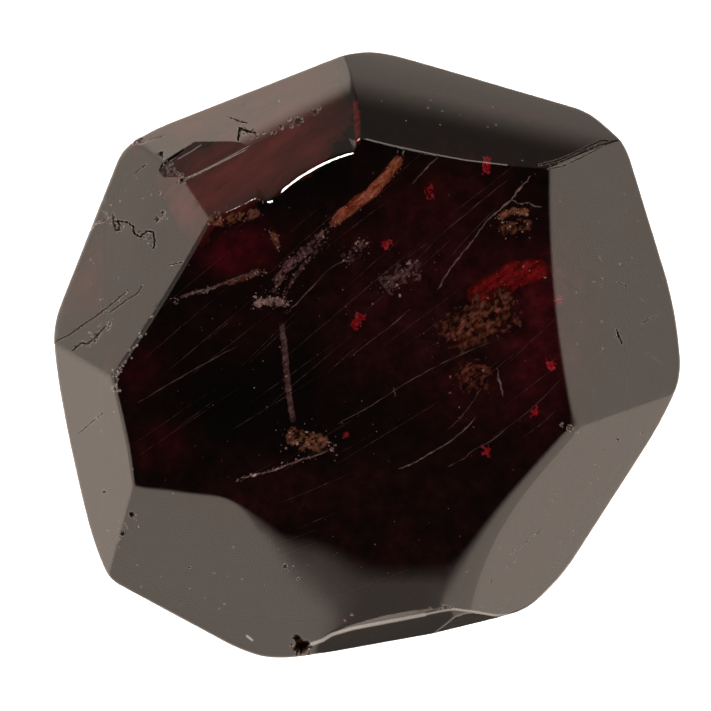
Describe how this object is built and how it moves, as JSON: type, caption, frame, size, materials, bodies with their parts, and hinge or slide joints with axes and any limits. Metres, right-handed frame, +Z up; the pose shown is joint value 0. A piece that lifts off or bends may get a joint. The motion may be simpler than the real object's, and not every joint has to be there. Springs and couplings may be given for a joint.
{
  "type": "garnet crystal",
  "caption": "Chunky garnet crystal ground to broad polished flats, with a gently domed table, soft edges, a few chips and a flat underside to rest on.",
  "frame": {"origin": "on the surface the stone rests on, under the middle of its outline", "axes": "+Z up through the table, +X along the longest extent to the right, +Y to the back, away from the lip chip"},
  "size_m": [0.04, 0.0389, 0.025],
  "materials": {
    "garnet": "clear but very deep red mineral with a glassy hand polish; unpolished in the chips"
  },
  "bodies": {
    "root": {"garnet_crystal": "garnet"}
  },
  "joints": []
}
